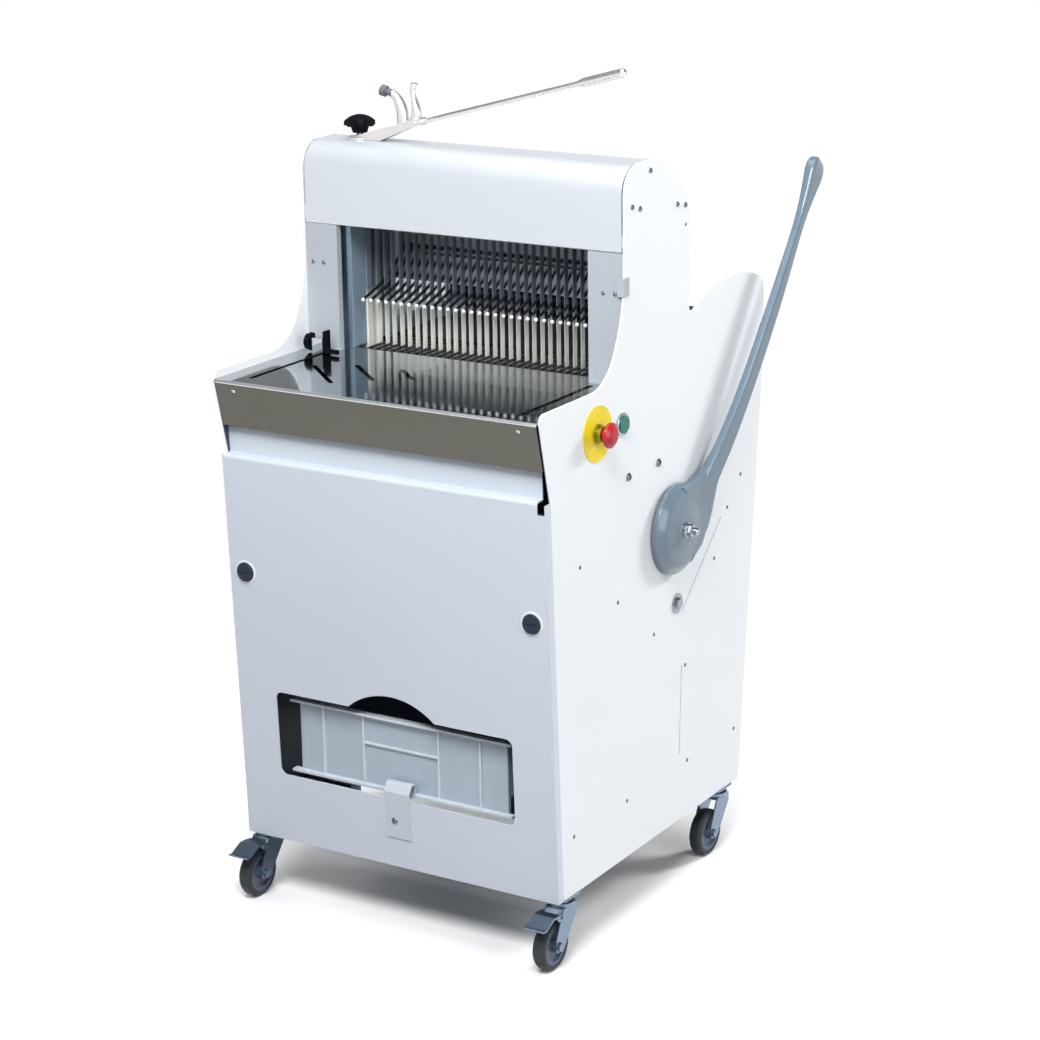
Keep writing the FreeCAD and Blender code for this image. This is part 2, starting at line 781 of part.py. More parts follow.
def pusher_rods():
    rail_end = pusher_rest_y + 38
    rods = [rod((carriage_x, carriage_rod_front, carriage_rod_z), (carriage_x, rail_end, carriage_rod_z),
                rod_radius)]
    z = (carriage_rod_z - block_half, carriage_rod_z - rod_radius)
    holders = [box((carriage_x - 13, inner_x), (y, y + 8), z) for y in (carriage_rod_front, rail_end - 8)]
    return both_sides(rods + holders)


add("pusher_rods", pusher_rods())


def pusher_carriage():
    """Sliding blocks on the rods, with arms that reach over the trough walls."""
    x = (carriage_x - block_half, carriage_x + block_half)
    slider = box(x, block_y, (carriage_rod_z - block_half, carriage_rod_z + block_half))
    slider = slider.cut(rod((carriage_x, block_y[0] - 1, carriage_rod_z),
                            (carriage_x, block_y[1] + 1, carriage_rod_z), rod_radius + running))
    arm = box((x[0], x[0] + 10), (pusher_rest_y, pusher_rest_y + 24),
              (carriage_rod_z + block_half, infeed_wall_top + 22))
    link_y = sum(block_y) / 2
    ear = box((x[1] - 8, x[1]), (link_y - 12, link_y + 12), (link_z - 12, carriage_rod_z - block_half))
    pin = rod((x[1], link_y, link_z), (rocker_plane[0] - seat_gap - 0.2, link_y, link_z), 8)
    return both_sides([fuse([slider, arm, ear, pin])])


pusher_half = 216.0


def pusher_comb():
    """Cross beam with a toothed face that pushes the loaf."""
    beam = box((block_half - carriage_x, carriage_x - block_half), (pusher_rest_y, pusher_rest_y + 18),
               (infeed_wall_top + 3, infeed_wall_top + 22))
    plate = box((-pusher_half, pusher_half), (pusher_rest_y, pusher_rest_y + 3),
                (table_height + 3, pusher_top))
    teeth = [box((x - 2, x + 2), (pusher_rest_y - 22, pusher_rest_y), (table_height + 3, pusher_top))
             for x in comb_x()]
    return fuse([beam, plate] + teeth)


add("pusher", [pusher_comb()] + pusher_carriage())


# ---------------------------------------------------------------- lever
hub_back = outer_x + hub_gap
hub_face = hub_back + 22
web_face = hub_back + 19     # outer face of the web between hub and arm


def on_lever(shape):
    """Piece built upright about the hub's axis, leaned back and put in place."""
    shape.rotate(V(0, 0, 0), V(1, 0, 0), -lever_lean)
    shape.translate(V(0, lever_y, lever_z))
    return shape


def lever_section(along, across, width, thick, x):
    """Rounded section of the arm, square to the lever, at a distance from the hub's axis."""
    nip = min(thick, width) * 0.3
    corners = [(x + a * thick / 2, across + b * width / 2, nip)
               for a, b in ((-1, -1), (1, -1), (1, 1), (-1, 1))]
    wire = outline(corners, XY).OuterWire
    wire.translate(V(0, 0, along))
    return wire


def lever_arm():
    """Cast arm that leaves the hub at its rear side and swells to a flat grip."""
    root, far = hub_back + 10, hub_back + lever_offset
    near_tip = lever_length - 138
    sections = [(20, 37, 62, 18, root), (75, 35, 54, 18, root + 1), (128, 27, 39, 17, root + 6),
                (190, 27, 35, 16.5, root + 11),
                (257, 25.5, 31, 16.5, root + 14), (383, 17, 28, 16, far - 1), (511, 8, 22, 14.5, far),
                (near_tip + 25, 1.5, 20, 14, far), (near_tip + 80, -4, 32, 17, far),
                (lever_length - 25, -8, 42, 20, far),
                (lever_length - 6, -9.5, 34, 17, far), (lever_length, -9.5, 20, 10, far)]
    arm = Part.makeLoft([lever_section(*s) for s in sections], True, False, False, 3)
    rim_profile = outline([(0, hub_back), (hub_radius, hub_back), (hub_radius, hub_back + 7, 4),
                           (hub_radius - 13, hub_face - 4, 12), (24, hub_face, 20), (0, hub_face)], XY)
    hub = rim_profile.revolve(V(0, 0, 0), V(0, 1, 0), 360)
    hub.rotate(V(0, 0, 0), V(0, 0, 1), -90)
    flare = [(-46, 52), (-8, 80, 30), (9, 112, 60), (11, 150), (44, 150), (56, 110, 80),
             (hub_radius - 4, 62, 60),
             (hub_radius - 1, 8, 20), (60, -30)]
    web = slab(flare, YZ, hub_back, web_face)
    web = web.makeFillet(5, [e for e in web.Edges if e.BoundBox.XMin > web_face - 0.01])
    web_back = [(hub_back - 1, 82), (hub_back + 10, 149), (hub_back + 10, 160), (hub_back - 1, 160)]
    web = web.cut(slab(web_back, XZ, -80, 80))
    return on_lever(fuse([hub, web, arm]))


add("lever", lever_arm())


def lever_bolt():
    washer = rod((hub_face, lever_y, lever_z), (hub_face + 2.5, lever_y, lever_z), 13)
    corners = [(11 * math.cos(math.radians(60 * k)), 11 * math.sin(math.radians(60 * k))) for k in range(6)]
    nut = slab(corners, YZ, hub_face + 2.5, hub_face + 11)
    nut.translate(V(0, lever_y, lever_z))
    stud = rod((hub_face + 11, lever_y, lever_z), (hub_face + 21, lever_y, lever_z), 6)
    stud = stud.makeChamfer(1, [e for e in stud.Edges if e.BoundBox.XMin > hub_face + 20.9])
    return fuse([washer, nut, stud])


add("lever_bolt", lever_bolt())


def cross_shaft():
    return rod((-inner_x - 1, lever_y, lever_z), (hub_back, lever_y, lever_z), shaft_radius)


rocker_rest = math.degrees(math.atan2(sum(block_y) / 2 - lever_y, link_z - lever_z))


def rocker_arms():
    """Slotted arms on the cross shaft, beside the pusher carriage's pins."""
    near, far = link_z - lever_z - 8, math.hypot(sum(block_y) / 2 - lever_y, link_z - lever_z) + 10
    x = rocker_plane
    arm = slab([(-21, 0, 15), (21, 0, 15), (18, far + 14, 12), (-18, far + 14, 12)], YZ, x[0], x[1])
    arm = arm.fuse(rod((x[0], 0, 0), (x[1], 0, 0), 24))
    slot = slab([(-9, near, 8.9), (9, near, 8.9), (9, far, 8.9), (-9, far, 8.9)], YZ, x[0] - 1, x[1] + 1)
    arm = arm.cut(slot).cut(rod((x[0] - 1, 0, 0), (x[1] + 1, 0, 0), shaft_radius))
    arm.rotate(V(0, 0, 0), V(1, 0, 0), -rocker_rest)
    arm.translate(V(0, lever_y, lever_z))
    return both_sides([arm])


add("cross_shaft", [cross_shaft()] + rocker_arms())


def lever_bearings():
    """Flanged bushes in the side plates for the cross shaft."""
    flange = rod((rocker_plane[1] + 2, lever_y, lever_z), (inner_x, lever_y, lever_z), 32)
    sleeve = rod((inner_x, lever_y, lever_z), (outer_x + 2, lever_y, lever_z), shaft_radius + 7)
    bush = fuse([flange, sleeve])
    through = rod((inner_x - 40, lever_y, lever_z), (outer_x + 20, lever_y, lever_z), shaft_radius + running)
    left_end = mirrored(fuse([flange, rod((inner_x, lever_y, lever_z), (outer_x + 2, lever_y, lever_z),
                                          shaft_radius + 7)]))
    left_bore = rod((-inner_x - 1.5, lever_y, lever_z), (40 - inner_x, lever_y, lever_z),
                    shaft_radius + running)
    return [bush.cut(through), left_end.cut(left_bore)]



# ---------------------------------------------------------------- crank drive
disc_x = (248.0, 260.0)
stand_x = (197.0, 213.0)
rod_angle = math.atan2(pin_z - crank_z, -crank_y)
throw = V(0, math.sin(rod_angle), -math.cos(rod_angle)) * stroke


def crank_pin(side):
    """Centre of the crank pin, which stands square to its connecting rod."""
    return V(0, crank_y, crank_z) + throw * side


def crankshaft():
    shaft = rod((-disc_x[0], crank_y, crank_z), (disc_x[0], crank_y, crank_z), shaft_radius)
    pieces = [shaft]
    for side in (-1, 1):
        disc = rod((side * disc_x[0], crank_y, crank_z), (side * disc_x[1], crank_y, crank_z), 34)
        pin = crank_pin(side)
        end = side * (rod_plane[0] - seat_gap - 0.2)
        pieces += [disc, rod((side * disc_x[1], pin.y, pin.z), (end, pin.y, pin.z), pin_radius)]
    return fuse(pieces)


def connecting_rod(side):
    """side +1 drives the front frame on the right, -1 the rear frame on the left."""
    top = V(0, -side * frame_offset, pin_z)
    low = crank_pin(side)
    length = (top - low).Length
    bar = slab([(-9, 0), (9, 0), (7, length), (-7, length)], YZ, rod_plane[0], rod_plane[1])
    eyes = [rod((rod_plane[0], 0, z), (rod_plane[1], 0, z), 14) for z in (0, length)]
    whole = fuse([bar] + eyes)
    for z in (0, length):
        whole = whole.cut(rod((rod_plane[0] - 1, 0, z), (rod_plane[1] + 1, 0, z), pin_radius + running))
    tilt = math.degrees(math.atan2(top.y - low.y, top.z - low.z))
    whole.rotate(V(0, 0, 0), V(1, 0, 0), -tilt)
    whole.translate(low)
    return whole if side > 0 else mirrored(whole)


add("connecting_rod_right", connecting_rod(1))
add("connecting_rod_left", connecting_rod(-1))


def crank_stands():
    stand = box(stand_x, (crank_y - 24, crank_y + 24), (crank_bar_z[1], crank_z))
    stand = stand.fuse(rod((stand_x[0], crank_y, crank_z), (stand_x[1], crank_y, crank_z), 24))
    bore = rod((stand_x[0] - 1, crank_y, crank_z), (stand_x[1] + 1, crank_y, crank_z), shaft_radius + running)
    return both_sides([stand.removeSplitter().cut(bore)])


add("shaft_bearings", lever_bearings() + crank_stands())


def pulley(y, z, radius, bore):
    """Flat pulley with side flanges and a web, bored for its shaft."""
    half = belt_width / 2 + 1
    rim_profile = [(bore, -half - 2), (radius + 3, -half - 2), (radius + 3, -half), (radius, -half),
                   (radius, half), (radius + 3, half), (radius + 3, half + 2), (bore, half + 2)]
    wheel = outline(rim_profile, XY).revolve(V(0, 0, 0), V(0, 1, 0), 360)
    wheel.rotate(V(0, 0, 0), V(0, 0, 1), -90)
    wheel.translate(V(belt_x, y, z))
    return wheel


add("crankshaft", [crankshaft(), pulley(crank_y, crank_z, crank_pulley_radius, shaft_radius)])
motor_shaft_radius = 9.5
motor_start, motor_end = -26.0, 204.0


def motor_pulley():
    wheel = pulley(motor_y, motor_z, motor_pulley_radius, motor_shaft_radius)
    shaft = rod((motor_end + seat_gap, motor_y, motor_z), (belt_x + belt_width / 2 + 3, motor_y, motor_z),
                motor_shaft_radius)
    return fuse([wheel, shaft])


add("motor_pulley", motor_pulley())


def drive_belt():
    """Loop round both pulleys, a seat gap clear of their rims."""
    a, b = V(0, crank_y, crank_z), V(0, motor_y, motor_z)
    span = b - a
    ra = crank_pulley_radius + seat_gap
    rb = motor_pulley_radius + seat_gap
    heading = math.atan2(span.z, span.y)
    lean_in = math.acos((ra - rb) / span.Length)

    def loop(extra):
        ends = []
        for sign in (1, -1):
            direction = V(0, math.cos(heading + sign * lean_in), math.sin(heading + sign * lean_in))
            ends.append((a + direction * (ra + extra), b + direction * (rb + extra)))
        (a_up, b_up), (a_low, b_low) = ends
        along = unit(span)
        edges = [
            Part.makeLine(a_up, b_up),
            Part.Arc(b_up, b + along * (rb + extra), b_low).toShape(),
            Part.makeLine(b_low, a_low),
            Part.Arc(a_low, a - along * (ra + extra), a_up).toShape(),
        ]
        solid = Part.Face(Part.Wire(edges)).extrude(V(belt_width, 0, 0))
        solid.translate(V(belt_x - belt_width / 2, 0, 0))
        return solid

    return loop(belt_thick).cut(loop(0))


add("drive_belt", drive_belt())


def motor():
    body = rod((motor_start, motor_y, motor_z), (motor_end - 26, motor_y, motor_z), motor_radius)
    caps = [rod((x, motor_y, motor_z), (x + 12, motor_y, motor_z), motor_radius + 4)
            for x in (motor_start - 12, motor_end - 26)]
    nose = rod((motor_end - 14, motor_y, motor_z), (motor_end, motor_y, motor_z), 26)
    foot = box((motor_start + 20, motor_end - 46), (motor_y - 60, motor_y + 60),
               (motor_bar_z[1], motor_z - 50))
    fins = []
    for k in range(-5, 6):
        angle = math.radians(90 + 15 * k)
        radial = V(0, math.cos(angle), math.sin(angle))
        spot = V(0, motor_y, motor_z) + radial * (motor_radius - 2)
        fin = box((motor_start + 8, motor_end - 34), (-1.5, 1.5), (0, 8))
        fin.rotate(V(0, 0, 0), V(1, 0, 0), 15 * k)
        fin.translate(spot)
        fins.append(fin)
    return fuse([body, nose, foot] + caps + fins)


add("motor", motor())


# ---------------------------------------------------------------- crumb chutes
chutes = [[(-233, 641), (1, 463)], [(209, 535), (303, 658)]]     # y, z of the sheets' edges


def crumb_chutes():
    pieces = []
    for line in chutes:
        sheet = ribbon(line, thin_sheet, YZ, 2 - inner_x, inner_x - 2)
        flange = ribbon(line, 12, YZ, inner_x - 2, inner_x)
        pieces.append(fuse([sheet, flange, mirrored(flange)]))
    return pieces


add("crumb_chutes", crumb_chutes())


# ---------------------------------------------------------------- electrics
estop_y, estop_z = -178.0, table_height - 53.5
start_y, start_z = -101.5, table_height - 56
estop_travel, start_travel = 4.0, 2.5


def at_side(y, z, x0, x1, radius):
    return rod((outer_x + x0, y, z), (outer_x + x1, y, z), radius)


add("estop_plate", at_side(estop_y, estop_z, 0, 1.2, 44).cut(at_side(estop_y, estop_z, -1, 2, 11 + running)))


def estop_collar():
    collar = at_side(estop_y, estop_z, 1.2, 5, 15).fuse(at_side(estop_y, estop_z, 5, 12, 12.5))
    neck = at_side(estop_y, estop_z, 0, 1.2, 11)
    bore = at_side(estop_y, estop_z, 0.4, 13, 8 + running)
    return fuse([collar, neck]).cut(bore)


add("estop_collar", estop_collar())


def estop_button():
    under = 12 + estop_travel + seat_gap
    profile = outline([(0, under), (14, under, 1), (14, under + 3), (20, under + 4.5, 1), (20, under + 9, 3),
                       (12, under + 15, 12), (0, under + 15.5)], XY)
    head = profile.revolve(V(0, 0, 0), V(0, 1, 0), 360)
    head.rotate(V(0, 0, 0), V(0, 0, 1), -90)
    head.translate(V(outer_x, estop_y, estop_z))
    stem = at_side(estop_y, estop_z, estop_travel + 1, under, 8)
    return fuse([head, stem])


add("estop_button", estop_button())


def start_bezel():
    ring = at_side(start_y, start_z, 0, 4, 18).cut(at_side(start_y, start_z, 0.5, 5, 14 + running))
    return ring.makeChamfer(0.8, [e for e in ring.Edges if e.BoundBox.XMin > outer_x + 3.9
                                  and e.BoundBox.YLength > 30])


add("start_bezel", start_bezel())
button = at_side(start_y, start_z, 0.5 + start_travel, 6.5, 14)
add("start_button", button.makeFillet(1, [e for e in button.Edges if e.BoundBox.XMin > outer_x + 6.4]))


def control_box():
    """Plastic case behind the push buttons, with a well for each one's stem."""
    case = box((inner_x - 92, inner_x), (estop_y - 22, start_y + 41.5),
               (table_height - 118, table_height - 25))
    case = case.makeFillet(3, [e for e in case.Edges if e.BoundBox.XLength > 50])
    for y, z in ((estop_y, estop_z), (start_y, start_z)):
        case = case.cut(rod((inner_x - 40, y, z), (inner_x, y, z), 15))
    return case


add("control_box", control_box())


def power_inlet():
    """Panel socket low on the back."""
    z = 190.0
    y = rear_foot_y - 3 + (rear_break[0] - rear_foot_y) * (z - cabinet_bottom) / (rear_break[1] - cabinet_bottom)
    flange = box((-225, -175), (y, y + 5), (z - 16, z + 16))
    flange = flange.makeFillet(4, [e for e in flange.Edges if e.BoundBox.YLength > 4])
    well = box((-212, -188), (y + 1.5, y + 6), (z - 8, z + 8))
    pins = [box((x - 1, x + 1), (y + 1.5, y + 4.5), (z - 3, z + 3)) for x in (-206, -200, -194)]
    socket = fuse([flange.cut(well)] + pins)
    socket.rotate(V(0, y, z), V(1, 0, 0), -math.degrees(math.atan2(rear_break[0] - rear_foot_y,
                                                               rear_break[1] - cabinet_bottom)))
    return socket


add("power_inlet", power_inlet())


# ---------------------------------------------------------------- castors
stem_radius = 6.0
fork_top = cabinet_bottom - 6.0
fork_inner = wheel_width / 2 + 2.5
fork_sheet = 2.5


def castor_points():
    return [(label, sx * castor_x, y) for label, sx, y in (
        ("front_left", -1, castor_front_pivot), ("front_right", 1, castor_front_pivot),
        ("rear_left", -1, castor_rear_pivot), ("rear_right", 1, castor_rear_pivot))]


def castor_plates():
    plates = []
    for _, x, y in castor_points():
        plate = box((x - 17, x + 17), (y - 16, y + 34), (cabinet_bottom - 3, cabinet_bottom))
        plate = plate.makeFillet(5, [e for e in plate.Edges if e.BoundBox.ZLength > 2])
        race = rod((x, y, fork_top + seat_gap), (x, y, cabinet_bottom - 3), 16)
        stem = rod((x, y, fork_top - 10), (x, y, cabinet_bottom - 3), stem_radius)
        plates.append(fuse([plate, race, stem]))
    return plates


add("castor_plates", castor_plates())


def castor_fork(x, y):
    """Pressed fork: round crown, two trailing legs and the axle bolt."""
    leg = slab([(20, fork_top - 9, 3), (20, fork_top - 20, 8), (-castor_trail + 13, wheel_radius - 9, 9),
                (-castor_trail - 12, wheel_radius - 9, 9), (-castor_trail - 10, wheel_radius + 12, 8),
                (-24, fork_top - 9, 6)], YZ, fork_inner, fork_inner + fork_sheet)
    crown = rod((0, 0, fork_top - 9), (0, 0, fork_top), 21)
    deck = box((-fork_inner - fork_sheet, fork_inner + fork_sheet), (-22, 19), (fork_top - 9, fork_top - 6))
    axle = rod((-fork_inner - fork_sheet - 4, -castor_trail, wheel_radius),
               (fork_inner + fork_sheet + 4, -castor_trail, wheel_radius), 4)
    heads = [rod((s * (fork_inner + fork_sheet), -castor_trail, wheel_radius),
                 (s * (fork_inner + fork_sheet + 4), -castor_trail, wheel_radius), 7) for s in (-1, 1)]
    fork = fuse([leg, mirrored(leg), crown, deck, axle] + heads)
    fork = fork.cut(rod((0, 0, fork_top - 10.5), (0, 0, fork_top + 1), stem_radius + running))
    fork.translate(V(x, y, 0))
    return fork


def castor_wheel(x, y):
    """Grey hub with a recessed web and bearing boss."""
    half = wheel_width / 2
    profile = outline([(4 + running, -half - 1.5), (10, -half - 1.5, 1), (10, -5, 1), (24, -4, 2),
                       (26, -half + 2, 1),
                       (31, -half + 2), (31, half - 2), (26, half - 2, 1), (24, 4, 2), (10, 5, 1),
                       (10, half + 1.5, 1), (4 + running, half + 1.5)], XY)
    hub = profile.revolve(V(0, 0, 0), V(0, 1, 0), 360)
    hub.rotate(V(0, 0, 0), V(0, 0, 1), -90)
    hub.translate(V(x, y - castor_trail, wheel_radius))
    return hub


def castor_tyre(x, y):
    half = wheel_width / 2
    profile = outline([(31, -half + 1), (wheel_radius - 3, -half + 1, 2), (wheel_radius, -half + 6, 5),
                       (wheel_radius, half - 6, 5), (wheel_radius - 3, half - 1, 2), (31, half - 1)], XY)
    tyre = profile.revolve(V(0, 0, 0), V(0, 1, 0), 360)
    tyre.rotate(V(0, 0, 0), V(0, 0, 1), -90)
    tyre.translate(V(x, y - castor_trail, wheel_radius))
    return tyre


brake_y, brake_z = -30.0, 88.0


def castor_brake(x, y):
    """Foot pedal hinged on the fork, with its brake shoe over the tyre."""
    half = fork_inner + fork_sheet + seat_gap
    cheek = slab([(6, -5, 4), (6, 5, 4), (-12, 7, 3), (-12, -3, 3)], YZ, half, half + 2)
    pedal = ribbon([(-6, 7), (-24, 8, 6), (-48, -3, 4), (-56, -2)], 2.5, YZ, -half - 2, half + 2)
    pivot = rod((half - seat_gap, 0, 0), (half + 4, 0, 0), 3)
    parts = fuse([cheek, mirrored(cheek), pedal, pivot, mirrored(pivot)])
    parts.translate(V(x, y + brake_y, brake_z))
    return parts


for label, px, py in castor_points():
    add("castor_fork_" + label, castor_fork(px, py))
    add("castor_wheel_" + label, [castor_wheel(px, py), castor_tyre(px, py)])
    if "front" in label:
        add("castor_brake_" + label, castor_brake(px, py))


# ---------------------------------------------------------------- top arm
cover_top = tower_top - 1


def top_arm_stud():
    return rod((arm_x, arm_y, cover_top), (arm_x, arm_y, cover_top + 22), 6)


rise = math.radians(arm_rise)
arm_along = V(math.cos(rise), 0, math.sin(rise))


def arm_point(reach, up=0.0):
    return V(arm_x, arm_y, cover_top + 3) + arm_along * reach + V(-math.sin(rise), 0, math.cos(rise)) * up


def top_arm_bracket():
    base = rod((arm_x, arm_y, cover_top + seat_gap), (arm_x, arm_y, cover_top + 4), 19)
    low = arm_point(0)
    strap = slab([(arm_x - 4, cover_top + seat_gap), (arm_x + 44, cover_top + seat_gap, 8),
                  (arm_point(118).x, arm_point(118).z - 3, 2), (arm_point(118).x, arm_point(118).z + 3, 2),
                  (arm_point(40).x, arm_point(40).z + 5, 20), (arm_x - 4, low.z + 2)], XZ, arm_y - 12,
                  arm_y + 12)
    block = box((88, 128), (-9, 9), (-5, 7))
    block.rotate(V(0, 0, 0), V(0, 1, 0), -arm_rise)
    block.translate(arm_point(0))
    whole = fuse([base, strap, block])
    return whole.cut(rod((arm_x, arm_y, cover_top - 1), (arm_x, arm_y, cover_top + 40), 6 + running))


def top_arm_rod():
    start, grip, tip = arm_point(128), arm_point(424), arm_point(arm_reach - 7)
    thin = Part.makeCylinder(4, (grip - start).Length, start, arm_along)
    cone = Part.makeCone(4, 7, 14, grip - arm_along * 2, arm_along)
    thick = Part.makeCylinder(7, (tip - grip).Length - 12, grip + arm_along * 12, arm_along)
    ball = Part.makeSphere(7, tip)
    return fuse([thin, cone, thick, ball])


add("top_arm_rod", top_arm_rod())


def swept_finger(points, radii):
    sections = []
    for i, p in enumerate(points):
        ahead = points[min(i + 1, len(points) - 1)] - points[max(i - 1, 0)]
        sections.append(Part.Wire(Part.makeCircle(radii[i], p, ahead)))
    return Part.makeLoft(sections, True)


def top_arm_fingers():
    """Broad curled finger and a straight one, both rising from the clamp."""
    foot_a, foot_b = arm_point(88, 4), arm_point(112, 4)
    curl = [foot_a, foot_a + V(0, 0, 18), foot_a + V(-6, 0, 34), foot_a + V(-18, 0, 47),
            foot_a + V(-30, 0, 50)]
    straight = [foot_b, foot_b + V(3, 0, 16), foot_b + V(-1, 0, 34), foot_b + V(1, 0, 60)]
    return [swept_finger(curl, (9, 9.5, 8.5, 6.5, 5.5)), swept_finger(straight, (9, 8.5, 6, 6))]


def finger_tip():
    """Rubber cap on the end of the curled finger."""
    end = arm_point(88, 4) + V(-30, 0, 50)
    return Part.makeCylinder(9, 9, end, V(-12, 0, 3))


add("top_arm_bracket", [fuse([top_arm_bracket()] + top_arm_fingers()), finger_tip()])


def top_arm_knob():
    foot = cover_top + 10.5
    shank = Part.makeCone(12, 16, 12.5, V(arm_x, arm_y, foot + seat_gap))
    knob = star_knob((arm_x, arm_y, foot + 11.5), (0, 0, 1), arm_knob_radius, 18)
    return fuse([shank, knob]).cut(rod((arm_x, arm_y, foot - 1), (arm_x, arm_y, cover_top + 22.5),
                                       6 + running))


add("top_arm_knob", top_arm_knob())


# ---------------------------------------------------------------- side guides
guide_clamp_y = -120.0


def side_guide():
    """Clamp block on the table with its bolt in the slot and the upright stop."""
    z = table_height + seat_gap
    y = guide_clamp_y
    clamp = box((slot_x - 6, slot_x + 14), (y - 10, y + 10), (z, z + 26))
    bolt = rod((slot_x, y, table_height - 14), (slot_x, y, z), 4)
    washer = rod((slot_x, y, table_height - 14), (slot_x, y, table_height - thin_sheet - seat_gap), 10)
    return fuse([clamp, bolt, washer])


def guide_stop():
    z = table_height + seat_gap
    y = guide_clamp_y
    upright = box((slot_x - 10, slot_x - 6), (y - 8, y + 8), (z + 2, z + 38))
    foot = box((slot_x - 34, slot_x - 6), (y - 8, y - 2), (z + 2, z + 9))
    return fuse([upright, foot])


def guide_knob():
    z = table_height + seat_gap + 17
    x = slot_x + 14 + seat_gap
    knob = star_knob((x + 6, guide_clamp_y, z), (1, 0, 0), 15, 14)
    return fuse([knob, rod((x, guide_clamp_y, z), (x + 8, guide_clamp_y, z), 6)])


add("side_guide_left", [mirrored(side_guide()), mirrored(guide_stop())])
add("side_guide_knob_left", mirrored(guide_knob()))


# ---------------------------------------------------------------- fasteners
small_screws = chutes[0] + chutes[1] + [(-116, 551), (255, 612), (-258, 207), (-89, 207), (116, 207),
                                        (286, 207),
                                        (108, 378)]
tower_screws = [(-10, 16.5), (-67, 64.5), (-43, 70.5), (78, 82.5), (104, 87.5)]    # y, depth below the top
beam_bolts = [(-81, table_height - 146), (16, table_height - 146)]
tension_bolt = (79, 494)


def side_screws():
    small = [dome((outer_x, y, z), (1, 0, 0), 3.5, 1.6) for y, z in small_screws]
    tower = [dome((outer_x, y, tower_top - depth), (1, 0, 0), 4.5, 3) for y, depth in tower_screws]
    large = [dome((outer_x, y, z), (1, 0, 0), 7, 4.5) for y, z in beam_bolts]
    return both_sides(small + tower + large)


def support_bolt():
    y, z = tension_bolt
    washer = rod((outer_x, y, z), (outer_x + 1.6, y, z), 17)
    corners = [(9.5 * math.cos(math.radians(60 * k + 10)), 9.5 * math.sin(math.radians(60 * k + 10)))
               for k in range(6)]
    head = slab(corners, YZ, outer_x + 1.6, outer_x + 6.5)
    head.translate(V(0, y, z))
    return fuse([washer, head])


def front_screws():
    heads = []
    for x in (-262, 262):
        lean_y = (apron_low[0] - front_lip_y) / (table_height - thin_sheet - apron_low[1])
        z = table_height - 16
        y = front_lip_y - 1 + (table_height - thin_sheet - z) * lean_y
        out = unit(V(0, -1, -lean_y))
        heads.append(dome((x, y, z), out, 3.5, 1.5))
    for x, z in ((front_plate_in + 27, table_height + 144), (front_plate_in + 48, table_height + 144)):
        heads += both_sides([dome((x, tower_front_y, z), (0, -1, 0), 3.5, 2.2)])
    return heads


add("screws", side_screws() + both_sides([support_bolt()]) + front_screws() + [top_arm_stud()])


def edge_bracket():
    """Small hinge leaf on the tower's front edge."""
    span = (table_height + 142, table_height + 171)
    leaf = box((outer_x, outer_x + 2), (tower_front - 4, tower_front + 12), span)
    return [leaf, box((inner_x - 8, outer_x + 2), (tower_front - 4.3, tower_front - 2.3), span)]


add("tower_front_plates", both_sides([tower_front_plate()]) + [fuse(edge_bracket())])

# ---------------------------------------------------------------- export
everything = Part.makeCompound([s for solids in nodes.values() for s in solids])
limits = everything.optimalBoundingBox(False, False)
home = V(-(limits.XMin + limits.XMax) / 2, -(limits.YMin + limits.YMax) / 2, -limits.ZMin)
print("moved by", home, "size", limits.XLength, limits.YLength, limits.ZLength)

os.makedirs("parts", exist_ok=True)
for name, solids in nodes.items():
    shape = solids[0].copy() if len(solids) == 1 else Part.makeCompound(solids)
    shape.translate(home)
    shape.exportStep("parts/" + name + ".step")
print(len(nodes), "nodes")
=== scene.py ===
import math

import bpy
from mathutils import Matrix, Vector

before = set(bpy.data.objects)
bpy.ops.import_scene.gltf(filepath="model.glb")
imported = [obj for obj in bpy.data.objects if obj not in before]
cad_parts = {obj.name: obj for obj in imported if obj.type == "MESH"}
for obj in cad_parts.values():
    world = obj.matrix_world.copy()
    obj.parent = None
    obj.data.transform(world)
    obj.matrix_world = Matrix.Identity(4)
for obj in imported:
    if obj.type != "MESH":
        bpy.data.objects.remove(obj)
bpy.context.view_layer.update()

# Millimetre positions below are the part's own, before it was centred.
HOME = Vector((-20.75, -80.843, 0.0))
METRE = 1000


# ---------------------------------------------------------------- nodes
NOISE_LOW, NOISE_HIGH = 0.3, 0.7       # where most of a noise texture's values lie


def new_material(name):
    m = bpy.data.materials.new(name)
    m.use_nodes = True
    tree = m.node_tree
    return m, tree, tree.nodes["Principled BSDF"]


def coords(tree, scale=(1, 1, 1)):
    source = tree.nodes.new("ShaderNodeTexCoord")
    mapping = tree.nodes.new("ShaderNodeMapping")
    mapping.inputs["Scale"].default_value = scale
    tree.links.new(source.outputs["Object"], mapping.inputs["Vector"])
    return mapping.outputs["Vector"]


def components(tree, vector):
    """Outputs X, Y and Z of a vector."""
    split = tree.nodes.new("ShaderNodeSeparateXYZ")
    tree.links.new(vector, split.inputs[0])
    return split.outputs


def noise(tree, vector, scale, detail=3.0, rough=0.55):
    node = tree.nodes.new("ShaderNodeTexNoise")
    node.inputs["Scale"].default_value = scale
    node.inputs["Detail"].default_value = detail
    node.inputs["Roughness"].default_value = rough
    tree.links.new(vector, node.inputs["Vector"])
    return node.outputs["Fac"]


def ramp(tree, value, low, high):
    node = tree.nodes.new("ShaderNodeValToRGB")
    first, last = node.color_ramp.elements[0], node.color_ramp.elements[1]
    first.position, last.position = NOISE_LOW, NOISE_HIGH
    first.color, last.color = (*low, 1), (*high, 1)
    tree.links.new(value, node.inputs["Fac"])
    return node.outputs["Color"]


